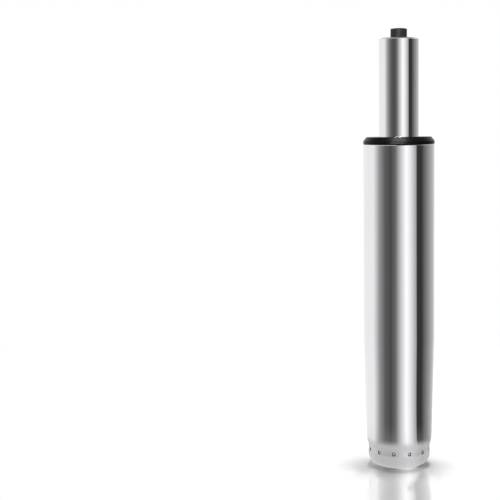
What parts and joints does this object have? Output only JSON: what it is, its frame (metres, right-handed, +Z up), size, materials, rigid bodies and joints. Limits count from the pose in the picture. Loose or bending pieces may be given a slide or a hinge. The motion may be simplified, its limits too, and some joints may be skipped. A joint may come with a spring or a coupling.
{
  "type": "chair gas lift cylinder",
  "caption": "Chrome height-adjusting column of a swivel chair: a tapered stand tube, a black guide collar and a gas spring with a release button, turning on a thrust bearing.",
  "frame": {"origin": "centre of the underside of the stand tube's rolled foot", "axes": "+Z up along the column, towards the seat; the front in the picture faces -Y"},
  "size_m": [0.05, 0.05, 0.3106],
  "materials": {
    "chromed_tube": "polished chrome plating",
    "chromed_rod": "ground and hard-chromed",
    "bush_plastic": "satin moulded",
    "button_plastic": "satin moulded",
    "zinc_steel": "zinc-plated, turned",
    "bearing_steel": "ground",
    "spring_steel": "phosphated, dark",
    "brass": "turned",
    "aluminium": "turned",
    "ptfe": "waxy",
    "rubber": "moulded"
  },
  "bodies": {
    "stand": {"stand_tube": "chromed_tube", "guide_bush": "bush_plastic", "bottom_plate": "zinc_steel", "lower_race": "bearing_steel"},
    "ball_cage": {"bearing_cage": "brass", "bearing_balls": "bearing_steel"},
    "rod": {"piston_rod": "chromed_rod", "upper_race": "bearing_steel", "thrust_washer": "zinc_steel", "bumper": "rubber", "clip_washer": "zinc_steel", "retaining_clip": "spring_steel", "piston_lower_washer": "zinc_steel", "piston": "aluminium", "piston_glide_ring": "ptfe", "piston_seal": "rubber", "piston_upper_washer": "zinc_steel", "piston_nut": "zinc_steel"},
    "spring": {"pressure_tube": "chromed_tube", "inner_tube": "zinc_steel", "end_ring": "zinc_steel", "seal_washer": "ptfe", "rod_seal": "rubber", "rod_guide": "brass", "rod_guide_oring": "rubber", "valve_cap": "zinc_steel", "valve_body": "brass", "valve_upper_oring": "rubber", "valve_lower_oring": "rubber", "valve_pin_seal": "rubber"},
    "button": {"release_button": "button_plastic", "valve_pin": "bearing_steel"}
  },
  "joints": [
    {"name": "swivel", "type": "hinge", "parent": "stand", "child": "rod", "pos_m": [0, 0, 0], "axis": [0, 0, 1], "continuous": true},
    {"name": "cage_roll", "type": "hinge", "parent": "stand", "child": "ball_cage", "pos_m": [0, 0, 0], "axis": [0, 0, 1], "continuous": true},
    {"name": "lift", "type": "slide", "parent": "rod", "child": "spring", "axis": [0, 0, 1], "range_m": [0, 0.1]},
    {"name": "button_press", "type": "slide", "parent": "spring", "child": "button", "axis": [0, 0, 1], "range_m": [-0.0025, 0], "stiffness_N_per_m": 6000}
  ],
  "couplings": [
    {"joint": "cage_roll", "follows": "swivel", "ratio": 0.5}
  ]
}
